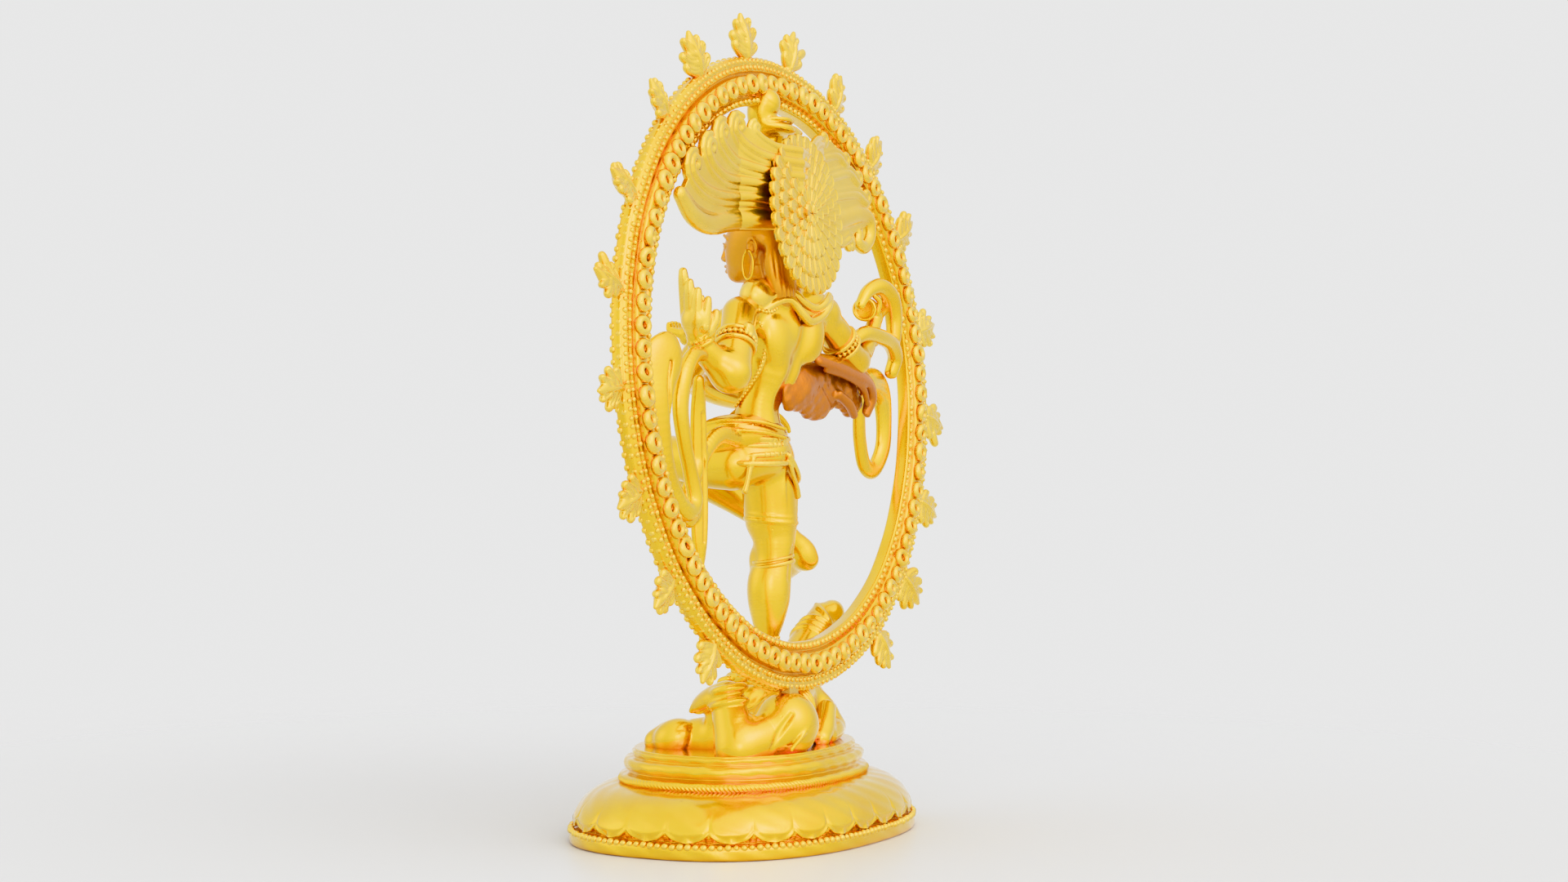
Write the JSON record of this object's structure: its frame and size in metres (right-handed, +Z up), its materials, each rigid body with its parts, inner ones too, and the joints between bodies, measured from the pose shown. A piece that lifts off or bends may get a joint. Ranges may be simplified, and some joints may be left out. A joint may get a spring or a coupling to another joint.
{
  "type": "brass nataraja statue",
  "caption": "Cast brass four-armed dancing figure on a reclining dwarf, inside a lift-out flame ring, on a hollow lotus pedestal.",
  "frame": {"origin": "centre of the pedestal outline, on the plane it rests on", "axes": "+Z up; the figure faces -Y, so its own left side is +X; the aureole leans 4.84 degrees towards -Y"},
  "size_m": [0.3993, 0.1694, 0.4569],
  "materials": {
    "brass_figure": "polished, lacquered cast brass",
    "brass_ornament": "polished cast brass with chased relief",
    "brass_dwarf": "polished cast brass",
    "brass_pedestal": "polished hollow casting",
    "brass_aureole": "polished cast brass, beaded",
    "brass_sheet": "plain rolled sheet",
    "brass_pin": "drawn rod",
    "steel_fastener": "zinc plated"
  },
  "bodies": {
    "root": {"anklets": "brass_ornament", "armlets": "brass_ornament", "bottom_plate": "brass_sheet", "crown": "brass_ornament", "disc_stem": "brass_pin", "dowel_pins": "brass_pin", "drum": "brass_figure", "dwarf_body": "brass_dwarf", "dwarf_head": "brass_dwarf", "dwarf_nuts": "steel_fastener", "dwarf_studs": "steel_fastener", "dwarf_washers": "steel_fastener", "earrings": "brass_ornament", "hair_fan_left": "brass_figure", "hair_fan_right": "brass_figure", "head": "brass_figure", "left_front_arm": "brass_figure", "left_rear_arm": "brass_figure", "left_scarf": "brass_figure", "lotus_pedestal": "brass_pedestal", "nape_disc": "brass_ornament", "necklace": "brass_ornament", "palm_flame": "brass_figure", "plate_screws": "steel_fastener", "raised_leg": "brass_figure", "right_cobra": "brass_figure", "right_drape": "brass_figure", "right_front_arm": "brass_figure", "right_rear_arm": "brass_figure", "right_scarf": "brass_figure", "sash": "brass_figure", "standing_leg": "brass_figure", "torso": "brass_figure", "waist_belt": "brass_ornament"},
    "aureole": {"aureole_ring": "brass_aureole", "aureole_tongue": "brass_aureole", "flames": "brass_aureole", "rosettes": "brass_aureole", "tongue_rivets": "brass_pin"}
  },
  "joints": [
    {"name": "aureole_lift", "type": "slide", "parent": "root", "child": "aureole", "axis": [0, -0.0844, 0.9964], "range_m": [0, 0.024]}
  ]
}
